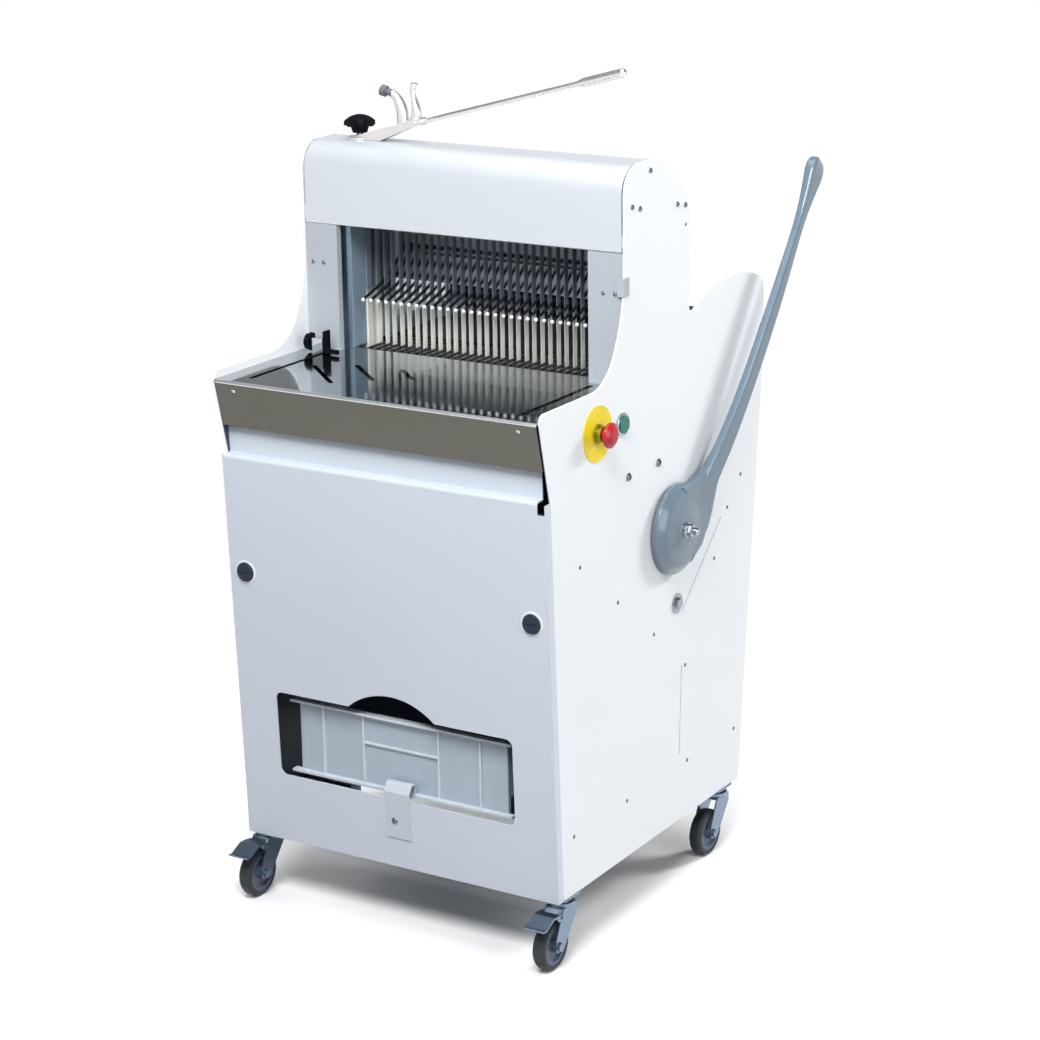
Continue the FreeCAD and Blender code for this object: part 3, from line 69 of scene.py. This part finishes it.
def spread(tree, value, low, high, from_low=NOISE_LOW, from_high=NOISE_HIGH):
    """Map a value from one range to another, held at the ends."""
    node = tree.nodes.new("ShaderNodeMapRange")
    limits = {"From Min": from_low, "From Max": from_high, "To Min": low, "To Max": high}
    for name, number in limits.items():
        node.inputs[name].default_value = number
    tree.links.new(value, node.inputs["Value"])
    return node.outputs["Result"]


def bump(tree, shader, height, strength, distance):
    node = tree.nodes.new("ShaderNodeBump")
    node.inputs["Strength"].default_value = strength
    node.inputs["Distance"].default_value = distance
    tree.links.new(height, node.inputs["Height"])
    tree.links.new(node.outputs["Normal"], shader.inputs["Normal"])


def math_node(tree, operation, *values):
    """Maths on floats and on other nodes' outputs."""
    node = tree.nodes.new("ShaderNodeMath")
    node.operation = operation
    for socket, value in zip(node.inputs, values):
        if isinstance(value, float):
            socket.default_value = value
        else:
            tree.links.new(value, socket)
    return node.outputs[0]


def mix_colour(tree, factor, first, second):
    """Blend of two colours, each a tuple or another node's output."""
    node = tree.nodes.new("ShaderNodeMix")
    node.data_type = "RGBA"
    tree.links.new(factor, node.inputs["Factor"])
    for name, colour in (("A", first), ("B", second)):
        if isinstance(colour, tuple):
            node.inputs[name].default_value = (*colour, 1)
        else:
            tree.links.new(colour, node.inputs[name])
    return node.outputs["Result"]


def mix_shader(tree, factor, first, second):
    node = tree.nodes.new("ShaderNodeMixShader")
    tree.links.new(factor, node.inputs["Fac"])
    tree.links.new(first.outputs[0], node.inputs[1])
    tree.links.new(second.outputs[0], node.inputs[2])
    return node.outputs[0]


# ---------------------------------------------------------------- kinds of material
def shaded(colour, shade):
    return tuple(c * (1 - shade) for c in colour)


def paint(name, colour, rough=0.32, peel=0.06, shade=0.04, coat=0.0, metallic=0.0):
    """Powder-coated sheet: faint orange peel, cloudy tone and finger marks in the gloss."""
    m, tree, shader = new_material(name)
    here = coords(tree)
    cloud = noise(tree, here, scale=2.3, detail=4)
    marks = noise(tree, here, scale=7.0, detail=6, rough=0.65)
    tree.links.new(ramp(tree, cloud, shaded(colour, shade), colour), shader.inputs["Base Color"])
    tree.links.new(spread(tree, marks, rough - 0.06, rough + 0.08), shader.inputs["Roughness"])
    bump(tree, shader, noise(tree, here, scale=850, detail=2), strength=peel, distance=0.0004)
    shader.inputs["Metallic"].default_value = metallic
    shader.inputs["Coat Weight"].default_value = coat
    shader.inputs["Coat Roughness"].default_value = 0.15
    return m


def steel(name, colour, rough=0.28, grain=(4, 900, 900), streak=0.10, depth=0.10, metallic=1.0):
    """Ground steel with its grain along the axis that has the small scale."""
    m, tree, shader = new_material(name)
    lines = noise(tree, coords(tree, grain), scale=1.0, detail=4, rough=0.7)
    cloud = noise(tree, coords(tree), scale=9.0, detail=3)
    tree.links.new(ramp(tree, lines, shaded(colour, streak), colour), shader.inputs["Base Color"])
    gloss = math_node(tree, "ADD", spread(tree, lines, rough - 0.05, rough + 0.05),
                      spread(tree, cloud, -0.03, 0.05))
    tree.links.new(gloss, shader.inputs["Roughness"])
    bump(tree, shader, lines, strength=depth, distance=0.0002)
    shader.inputs["Metallic"].default_value = metallic
    return m


def plastic(name, colour, rough=0.35, grain=900, depth=0.08, shade=0.12, shine=0.5):
    """Plastic, rubber or cast metal with a fine moulded grain."""
    m, tree, shader = new_material(name)
    here = coords(tree)
    cloud = noise(tree, here, scale=35, detail=4)
    marks = noise(tree, here, scale=60, detail=5)
    tree.links.new(ramp(tree, cloud, shaded(colour, shade), colour), shader.inputs["Base Color"])
    tree.links.new(spread(tree, marks, rough - 0.07, rough + 0.09), shader.inputs["Roughness"])
    bump(tree, shader, noise(tree, here, scale=grain, detail=3), strength=depth, distance=0.0003)
    shader.inputs["Specular IOR Level"].default_value = shine
    return m


def recolour(m, where, colour):
    """Lay a colour over the material's own, by a mask made from the place in the machine."""
    tree = m.node_tree
    target = tree.nodes["Principled BSDF"].inputs["Base Color"]
    own = target.links[0].from_socket
    place = components(tree, tree.nodes.new("ShaderNodeTexCoord").outputs["Object"])
    tree.links.new(mix_colour(tree, where(tree, place), own, colour), target)


# Limits of the masks, in metres.
SIDE_INSIDE = 0.2980                   # 1 mm into the side plates' sheet, from the middle
TABLE_UNDERSIDE = 0.8915
# The blades' painted shade under the top cover grows between these heights.
BLADE_SHADE_START, BLADE_SHADE_FULL = 0.955, 0.985


# Mask of the painted shade inside the cabinet: the side plates' inner faces below the table.
def cabinet_shade_mask(tree, place):
    across = math_node(tree, "ABSOLUTE", math_node(tree, "ADD", place["X"], -HOME.x / METRE))
    return math_node(tree, "MULTIPLY", math_node(tree, "LESS_THAN", across, SIDE_INSIDE),
                     math_node(tree, "LESS_THAN", place["Z"], TABLE_UNDERSIDE))


# Painted shade on the blades: darker upwards, where the top cover shades them.
def blade_shade_under_cover(tree, place):
    return spread(tree, place["Z"], 0, 1, BLADE_SHADE_START, BLADE_SHADE_FULL)


# ---------------------------------------------------------------- materials
OFF_WHITE = (0.81, 0.84, 0.86)
SMALL_WHITE = (0.86, 0.87, 0.88)
INSIDE_BLUE = (0.20, 0.27, 0.33)
SCREW_GREY = (0.20, 0.21, 0.23)
# Noise scales of the steel's grain, per metre; the small one is the way the lines run.
SHEET_ACROSS, APRON_ACROSS, SHEET_UPRIGHT = (6, 500, 500), (5, 500, 500), (500, 500, 5)
BLADE_UPRIGHT, ROD_UPRIGHT = (700, 700, 8), (500, 500, 12)
DECK_LENGTHWISE, COMB_LENGTHWISE = (300, 12, 300), (700, 8, 700)
COARSE, FINE, FINEST = (300, 300, 300), (400, 400, 400), (900, 900, 900)

side_white = paint("side_white", OFF_WHITE, 0.42, peel=0.05, shade=0.03)
back_white = paint("back_white", OFF_WHITE, 0.42, peel=0.05, shade=0.03)
panel_blue = paint("panel_blue", (0.60, 0.65, 0.72), 0.36, peel=0.05, shade=0.04)
cover_pearl = paint("cover_pearl", (0.62, 0.65, 0.69), 0.34, peel=0.03, shade=0.02, metallic=0.35)
plate_grey = paint("plate_grey", (0.40, 0.43, 0.47), 0.40, peel=0.05, shade=0.03)
white_ring = paint("white_ring", SMALL_WHITE, 0.35)
# Painted highlight: white for the glints on the comb rods' tips.
comb_tip_highlight = paint("comb_tip_highlight", SMALL_WHITE, 0.30)
cheek_paint = paint("cheek_paint", INSIDE_BLUE, 0.36, peel=0.05, shade=0.06)
seam_grey = paint("seam_grey", (0.22, 0.26, 0.27), 0.5)
lever_paint = paint("lever_paint", (0.135, 0.19, 0.245), 0.27, peel=0.04, shade=0.06, coat=0.4)
frame_paint = paint("frame_paint", (0.10, 0.13, 0.17), 0.45, peel=0.10, shade=0.10)
tab_metal = paint("tab_metal", (0.55, 0.60, 0.66), 0.35)

inside_grey = steel("inside_grey", INSIDE_BLUE, 0.36, SHEET_UPRIGHT)
# Painted shade: a darker copy of the inside steel for the walls beside the deck, in the shade behind the
# blades.
walls_painted_shade = steel("walls_painted_shade", (0.10, 0.14, 0.17), 0.42, SHEET_UPRIGHT)
# Painted shade: near-black steel for the deck and pusher, standing for the shade inside the tower.
deck_painted_shade = steel("deck_painted_shade", (0.045, 0.050, 0.058), 0.50, DECK_LENGTHWISE)
table_steel = steel("table_steel", (0.46, 0.49, 0.51), 0.08, SHEET_ACROSS, streak=0.08, depth=0.015)
apron_steel = steel("apron_steel", (0.155, 0.152, 0.132), 0.42, APRON_ACROSS, streak=0.06, depth=0.03)
# Painted highlight: a bright copy of the apron steel for the apron's top edge and the top cover's lip.
highlight_steel = steel("highlight_steel", (0.90, 0.90, 0.90), 0.30, APRON_ACROSS, streak=0.04, depth=0.03)
blade_steel = steel("blade_steel", (0.95, 0.94, 0.87), 0.36, BLADE_UPRIGHT, metallic=0.12)
comb_steel = steel("comb_steel", SCREW_GREY, 0.24, COMB_LENGTHWISE)
polished = steel("polished", (0.48, 0.50, 0.53), 0.20, ROD_UPRIGHT, streak=0.06, depth=0.03)
chrome = steel("chrome", (0.70, 0.71, 0.73), 0.08, FINE, streak=0.05, depth=0.02)
bright_steel = steel("bright_steel", (0.86, 0.85, 0.84), 0.30, FINE, streak=0.08, depth=0.03)
bolt_steel = steel("bolt_steel", (0.42, 0.45, 0.50), 0.34, COARSE, streak=0.14, depth=0.06)
zinc = steel("zinc", (0.20, 0.26, 0.34), 0.34, COARSE, streak=0.14, depth=0.10)
screw_steel = steel("screw_steel", SCREW_GREY, 0.36, COARSE, streak=0.2, depth=0.05)
olive = steel("olive", (0.42, 0.38, 0.06), 0.35, FINEST, streak=0.3, depth=0.25)

cast = plastic("cast", (0.10, 0.11, 0.12), 0.55, grain=500, depth=0.3)
black = plastic("black", (0.006, 0.006, 0.009), 0.42, grain=700, depth=0.05, shine=0.04)
lock_black = plastic("lock_black", (0.018, 0.026, 0.050), 0.36, grain=700, depth=0.05, shine=0.25)
rubber_grey = plastic("rubber_grey", (0.13, 0.14, 0.16), 0.5, grain=500, depth=0.2)
drawer_plastic = plastic("drawer_plastic", (0.40, 0.47, 0.54), 0.34, grain=500, depth=0.06, shade=0.05)
drawer_rib = plastic("drawer_rib", (0.62, 0.67, 0.72), 0.30, grain=500, depth=0.05, shade=0.04)
red = plastic("red", (0.42, 0.010, 0.020), 0.28)
yellow = plastic("yellow", (0.86, 0.68, 0.015), 0.40)
teal = plastic("teal", (0.004, 0.16, 0.13), 0.28)
tyre = plastic("tyre", (0.020, 0.025, 0.032), 0.58, grain=420, depth=0.25, shade=0.3)
hub_grey = plastic("hub_grey", (0.095, 0.125, 0.18), 0.42, grain=500, depth=0.1)

# Painted shade: the side plates' inner faces below the table are darkened to stand for the shade inside
# the cabinet; the blades are painted darker above the cut to stand for the shade under the top cover.
recolour(side_white, cabinet_shade_mask, (0.030, 0.045, 0.085))
recolour(blade_steel, blade_shade_under_cover, (0.20, 0.23, 0.28))

looks = {
    "apron": apron_steel, "base_frame": frame_paint, "blade_frame_front": blade_steel,
    "blade_frame_rear": blade_steel, "blade_guides": polished, "castor_plates": zinc,
    "connecting_rod_left": cast, "connecting_rod_right": cast, "control_box": black,
    "crankshaft": polished, "cross_shaft": cast, "crumb_chutes": inside_grey,
    "crumb_drawer": drawer_plastic, "drawer_runners": zinc, "drawer_tab": tab_metal,
    "drive_belt": black, "estop_button": red, "estop_collar": olive, "estop_plate": yellow,
    "front_panel": panel_blue, "infeed_deck": deck_painted_shade, "inner_walls": inside_grey,
    "lever": lever_paint, "lever_bolt": polished, "loaf_combs": comb_steel, "motor": cast,
    "motor_pulley": cast, "panel_lock_left": lock_black, "panel_lock_right": lock_black,
    "power_inlet": black, "pusher": deck_painted_shade, "pusher_rods": polished, "rear_cover": back_white,
    "screws": screw_steel, "shaft_bearings": cast, "side_guide_left": chrome,
    "side_guide_knob_left": black, "side_plate_left": side_white, "side_plate_right": side_white,
    "start_bezel": polished, "start_button": teal, "table": table_steel, "tie_bars": frame_paint,
    "top_arm_bracket": bright_steel, "top_arm_knob": black, "top_arm_rod": bright_steel,
    "top_cover": cover_pearl, "tower_front_plates": plate_grey,
}
AXLE_Y = {"front": -308, "rear": 211}  # the castor wheels' axles
CASTORS = [(row, side) for row in AXLE_Y for side in ("left", "right")]
for row, side in CASTORS:
    looks[f"castor_fork_{row}_{side}"] = zinc
    looks[f"castor_wheel_{row}_{side}"] = tyre
    if row == "front":
        looks[f"castor_brake_{row}_{side}"] = zinc

for node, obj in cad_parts.items():
    obj.data.materials.clear()
    obj.data.materials.append(looks[node])


# ---------------------------------------------------------------- second materials on one piece
def second_look(node, material, rule):
    """Give the faces whose centre, in the part's millimetres, meets the rule another material."""
    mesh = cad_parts[node].data
    mesh.materials.append(material)
    index = len(mesh.materials) - 1
    for face in mesh.polygons:
        centre = face.center * METRE - HOME
        if rule(centre):
            face.material_index = index


HIGHLIGHT_FOOT = 886.5                       # the apron's bright top edge is above
RIB_ROOT = -288.6                      # the drawer's ribs stand out in front
TAB_SCREW_X, TAB_SCREW_Z, TAB_SCREW_RADIUS = -2, 191, 6.2
FINGER_X, FINGER_Z = -160, 1305        # the finger's rubber tip is left of it and above
STOP_X, STOP_Z = -243.1, 894           # the side guide's stop is right of it and above
LOCK_X, LOCK_Z = 269, 573
RING_INNER, RING_OUTER = 16, 20.5      # radii of the ring around a lock
COMB_TIP = -54.5                       # the rods' tips are in front
LIP_Y, LIP_TOP = -80, 1104             # the top cover's lip is in front and below
WALL_FRONT, WALL_TOP = 0, 925          # the walls beside the deck
CHEEK_NEAR, CHEEK_FAR = 228.4, 229.6   # the inner faces of the cheeks beside the blades
FLANGE_X, FLANGE_Y, FLANGE_Z = 229.1, 56, 1016         # the cheeks' rear flanges
SEAM_NEAR, SEAM_FAR = 298.7, 299.8     # depth of the seams in the right side plate
SEAM_FRONT, SEAM_TOP = 80, 610
TABLE_SCREWS = -300                    # the screws in the apron are in front
BOLT_Y, BOLT_Z, BOLT_REACH = 79, 494, 18
WHEEL_RADIUS, HUB_RADIUS = 40, 31.4

# Painted highlights along the apron's top edge and the top cover's lip.
second_look("apron", highlight_steel, lambda c: c.z > HIGHLIGHT_FOOT)
second_look("crumb_drawer", drawer_rib, lambda c: c.y < RIB_ROOT)
second_look("drawer_tab", screw_steel,
            lambda c: math.hypot(c.x - TAB_SCREW_X, c.z - TAB_SCREW_Z) < TAB_SCREW_RADIUS)
second_look("top_arm_bracket", rubber_grey, lambda c: c.x < FINGER_X and c.z > FINGER_Z)
second_look("side_guide_left", black, lambda c: c.x > STOP_X and c.z > STOP_Z)
second_look("front_panel", white_ring,
            lambda c: RING_INNER < math.hypot(abs(c.x) - LOCK_X, c.z - LOCK_Z) < RING_OUTER)
# Painted highlights on the comb rods' tips.
second_look("loaf_combs", comb_tip_highlight, lambda c: c.y < COMB_TIP)
second_look("top_cover", highlight_steel, lambda c: c.z < LIP_TOP and c.y < LIP_Y)
# Painted shade on the walls beside the deck.
second_look("inner_walls", walls_painted_shade, lambda c: c.y > WALL_FRONT and c.z < WALL_TOP)
second_look("inner_walls", cheek_paint, lambda c: CHEEK_NEAR < abs(c.x) < CHEEK_FAR)
second_look("inner_walls", side_white,
            lambda c: abs(c.x) < FLANGE_X and c.y > FLANGE_Y and c.z > FLANGE_Z)
second_look("side_plate_right", seam_grey,
            lambda c: SEAM_NEAR < c.x < SEAM_FAR and c.y > SEAM_FRONT and c.z < SEAM_TOP)
second_look("screws", chrome, lambda c: c.y < TABLE_SCREWS)
second_look("screws", bolt_steel,
            lambda c: abs(c.y - BOLT_Y) < BOLT_REACH and abs(c.z - BOLT_Z) < BOLT_REACH)
for row, side in CASTORS:
    second_look(f"castor_wheel_{row}_{side}", hub_grey,
                lambda c: math.hypot(c.y - AXLE_Y[row], c.z - WHEEL_RADIUS) < HUB_RADIUS)


# ---------------------------------------------------------------- stage
FLOOR_HALF = 60
SHADOW_END, WHITE_START = 0.6, 1.7     # metres from the middle; the floor turns white between them
FLOOR_SEEN, FLOOR_BOUNCED = (0.93, 0.93, 0.93), (0.30, 0.30, 0.31)
HORIZON, ABOVE_HORIZON = 0.10, 0.24    # reflections lose the white between these heights


def floor_material():
    """Pale matte floor that keeps the shadow, darker for bounced light, white far away."""
    m = bpy.data.materials.new("floor")
    m.use_nodes = True
    tree = m.node_tree
    tree.nodes.clear()
    out = tree.nodes.new("ShaderNodeOutputMaterial")
    matte = tree.nodes.new("ShaderNodeBsdfDiffuse")
    glow = tree.nodes.new("ShaderNodeEmission")
    glow.inputs["Strength"].default_value = 1.0
    where = tree.nodes.new("ShaderNodeTexCoord")
    length = tree.nodes.new("ShaderNodeVectorMath")
    length.operation = "LENGTH"
    tree.links.new(where.outputs["Object"], length.inputs[0])
    far = spread(tree, length.outputs["Value"], 0, 1, SHADOW_END, WHITE_START)
    path = tree.nodes.new("ShaderNodeLightPath").outputs
    seen = math_node(tree, "MAXIMUM", path["Is Camera Ray"], path["Is Glossy Ray"])
    tree.links.new(mix_colour(tree, seen, FLOOR_BOUNCED, FLOOR_SEEN), matte.inputs["Color"])
    surface = mix_shader(tree, math_node(tree, "MULTIPLY", far, seen), matte, glow)
    tree.links.new(surface, out.inputs["Surface"])
    return m


ground = bpy.data.meshes.new("floor")
ground.from_pydata([(x * FLOOR_HALF, y * FLOOR_HALF, 0) for x, y in ((-1, -1), (1, -1), (1, 1), (-1, 1))],
                   [], [(0, 1, 2, 3)])
floor = bpy.data.objects.new("floor", ground)
bpy.context.scene.collection.objects.link(floor)
floor.data.materials.append(floor_material())


def studio_world():
    """Dim soft room, white where it is seen directly and, near the horizon, in reflections."""
    world = bpy.data.worlds.new("studio")
    world.use_nodes = True
    tree = world.node_tree
    tree.nodes.clear()
    out = tree.nodes.new("ShaderNodeOutputWorld")
    room = tree.nodes.new("ShaderNodeBackground")
    room.inputs["Color"].default_value = (0.93, 0.97, 1.0, 1)
    room.inputs["Strength"].default_value = 0.26
    white = tree.nodes.new("ShaderNodeBackground")
    white.inputs["Strength"].default_value = 1.0
    direction = components(tree, tree.nodes.new("ShaderNodeTexCoord").outputs["Generated"])
    low = spread(tree, direction["Z"], 1, 0, HORIZON, ABOVE_HORIZON)
    path = tree.nodes.new("ShaderNodeLightPath").outputs
    mirrored = math_node(tree, "MAXIMUM", path["Is Glossy Ray"], path["Is Transmission Ray"])
    mirrored_low = math_node(tree, "MULTIPLY", mirrored, low)
    shown = math_node(tree, "MAXIMUM", mirrored_low, path["Is Camera Ray"])
    tree.links.new(mix_shader(tree, shown, room, white), out.inputs["Surface"])
    return world


bpy.context.scene.world = studio_world()


def area(name, place, target, size, power, colour=(1, 1, 1)):
    """Rectangular lamp, in metres and watts, that shines from a place to a target."""
    light = bpy.data.lights.new(name, "AREA")
    light.shape = "RECTANGLE"
    light.size, light.size_y = size
    light.energy = power
    light.color = colour
    obj = bpy.data.objects.new(name, light)
    obj.location = place
    obj.rotation_mode = "QUATERNION"
    obj.rotation_quaternion = (Vector(target) - Vector(place)).to_track_quat("-Z", "Y")
    bpy.context.scene.collection.objects.link(obj)
    return obj


# The two lamps behind are hidden from gloss; the rim lamp would glare in the table.
area("rim", (1.9, 3.4, 2.1), (0.3, 0.1, 0.75), (0.8, 0.8), 124).visible_glossy = False
area("side", (3.2, -0.9, 1.5), (0.2, 0.0, 0.6), (1.8, 1.8), 34)
area("front", (0.6, -2.1, 3.0), (0.0, -0.2, 0.95), (1.7, 1.1), 112, (0.98, 0.99, 1.0))
area("back", (-3.7, 1.0, 1.9), (-0.2, 0.0, 0.6), (2.0, 2.0), 56).visible_glossy = False
area("top", (0.0, -0.2, 3.6), (0.0, 0.0, 0.9), (2.2, 1.6), 36)

# ---------------------------------------------------------------- camera
# Found from the photo: place in the part's millimetres, then yaw, pitch and roll in degrees.
CAMERA_PLACE = Vector((2315, -3671, 1902))
CAMERA_ANGLES = (-31.673383, -16.547839, -0.827266)
FOCAL_PIXELS, PHOTO_PIXELS, SENSOR = 2741.11, 1040, 36

yaw, pitch, roll = (math.radians(a) for a in CAMERA_ANGLES)
ahead = Vector((math.sin(yaw) * math.cos(pitch), math.cos(yaw) * math.cos(pitch), math.sin(pitch)))
right = ahead.cross(Vector((0, 0, 1))).normalized()
up = right.cross(ahead)
x_axis = math.cos(roll) * right + math.sin(roll) * up
y_axis = -math.sin(roll) * right + math.cos(roll) * up
turn = Matrix((x_axis, y_axis, -ahead)).transposed().to_4x4()
camera = bpy.data.cameras.new("camera")
camera.sensor_width = SENSOR
camera.lens = SENSOR * FOCAL_PIXELS / PHOTO_PIXELS
eye = bpy.data.objects.new("camera", camera)
eye.matrix_world = Matrix.Translation((CAMERA_PLACE + HOME) / METRE) @ turn
bpy.context.scene.collection.objects.link(eye)
bpy.context.scene.camera = eye
bpy.context.scene.view_settings.view_transform = "Standard"
